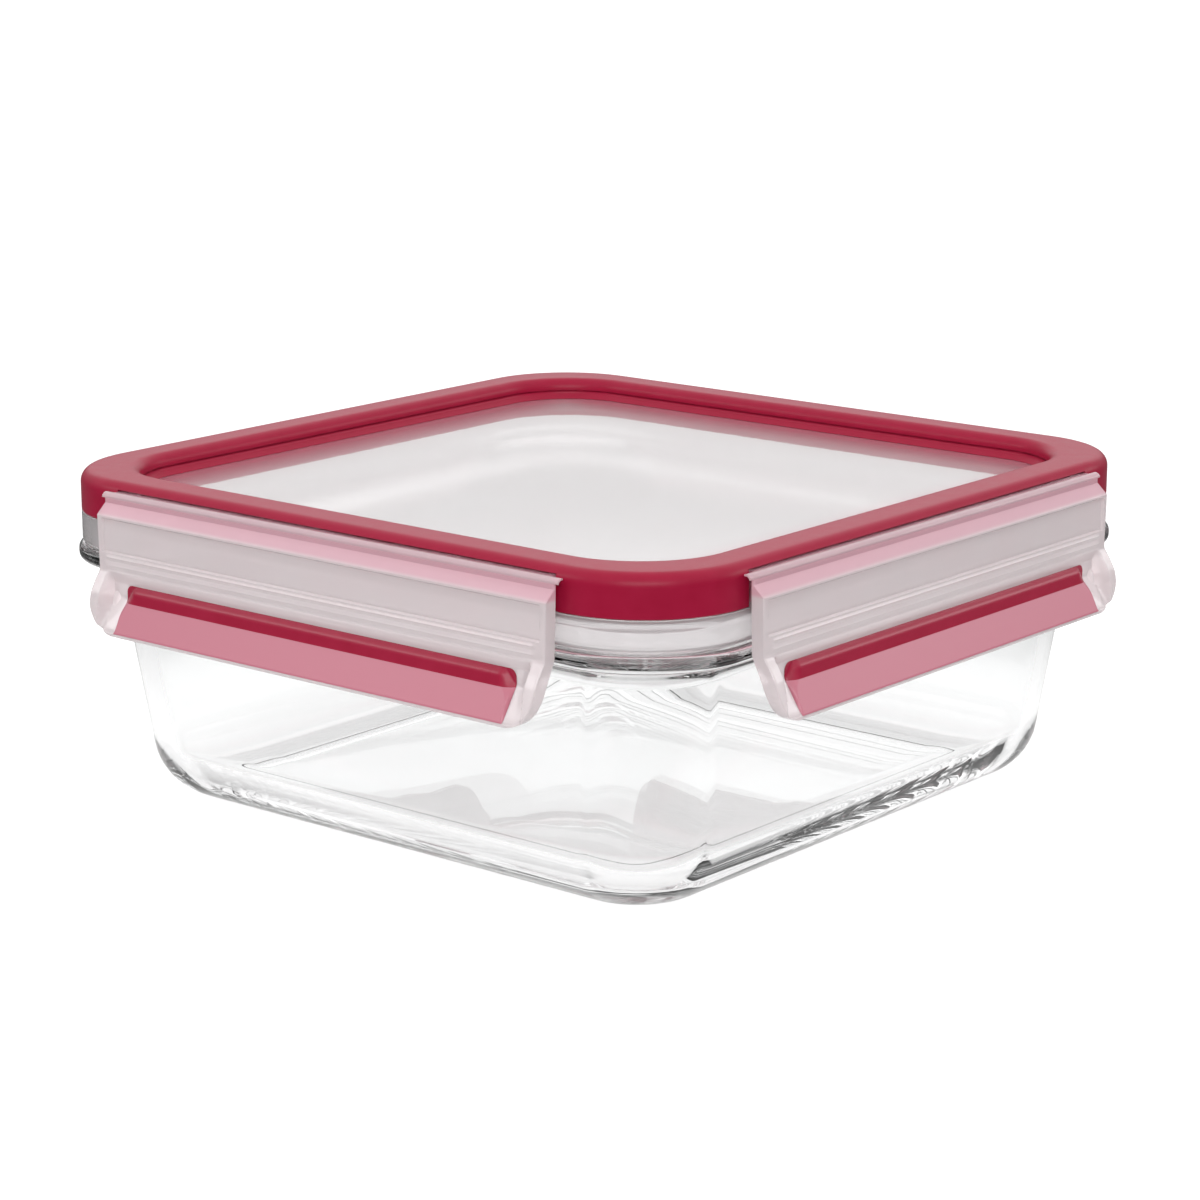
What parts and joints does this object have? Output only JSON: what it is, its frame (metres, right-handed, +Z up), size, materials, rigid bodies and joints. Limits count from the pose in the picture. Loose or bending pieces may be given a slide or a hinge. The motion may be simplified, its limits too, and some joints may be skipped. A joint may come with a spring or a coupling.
{
  "type": "glass storage container",
  "caption": "Square clear glass food dish with a clear clip-on lid, red soft rim and seal, and side clips with red finger pads on film hinges.",
  "frame": {"origin": "centre of the dish's flat underside", "axes": "+Z up, +X and +Y square to the sides; the front is -Y"},
  "size_m": [0.1792, 0.1792, 0.0695],
  "materials": {
    "glass": "clear polished pressed glass",
    "clear_plastic": "clear moulded plastic, gloss",
    "soft_red": "cranberry red soft plastic, satin"
  },
  "bodies": {
    "dish": {"glass_dish": "glass"},
    "lid": {"lid_plate": "clear_plastic", "lid_soft_rim": "soft_red", "rim_seal": "soft_red", "hinge_film_front": "clear_plastic", "hinge_film_right": "clear_plastic", "hinge_film_back": "clear_plastic", "hinge_film_left": "clear_plastic"},
    "clip_front": {"clip_flap_front": "clear_plastic", "clip_grip_front": "soft_red"},
    "clip_right": {"clip_flap_right": "clear_plastic", "clip_grip_right": "soft_red"},
    "clip_back": {"clip_flap_back": "clear_plastic", "clip_grip_back": "soft_red"},
    "clip_left": {"clip_flap_left": "clear_plastic", "clip_grip_left": "soft_red"}
  },
  "joints": [
    {"name": "lid_lift", "type": "slide", "parent": "dish", "child": "lid", "axis": [0, 0, 1], "range_m": [0, 0.06]},
    {"name": "clip_front_hinge", "type": "hinge", "parent": "lid", "child": "clip_front", "pos_m": [0, -0.0829, 0.0672], "axis": [-1, 0, 0], "range_deg": [0, 110]},
    {"name": "clip_right_hinge", "type": "hinge", "parent": "lid", "child": "clip_right", "pos_m": [0.0829, 0, 0.0672], "axis": [0, -1, 0], "range_deg": [0, 110]},
    {"name": "clip_back_hinge", "type": "hinge", "parent": "lid", "child": "clip_back", "pos_m": [0, 0.0829, 0.0672], "axis": [1, 0, 0], "range_deg": [0, 110]},
    {"name": "clip_left_hinge", "type": "hinge", "parent": "lid", "child": "clip_left", "pos_m": [-0.0829, 0, 0.0672], "axis": [0, 1, 0], "range_deg": [0, 110]}
  ]
}
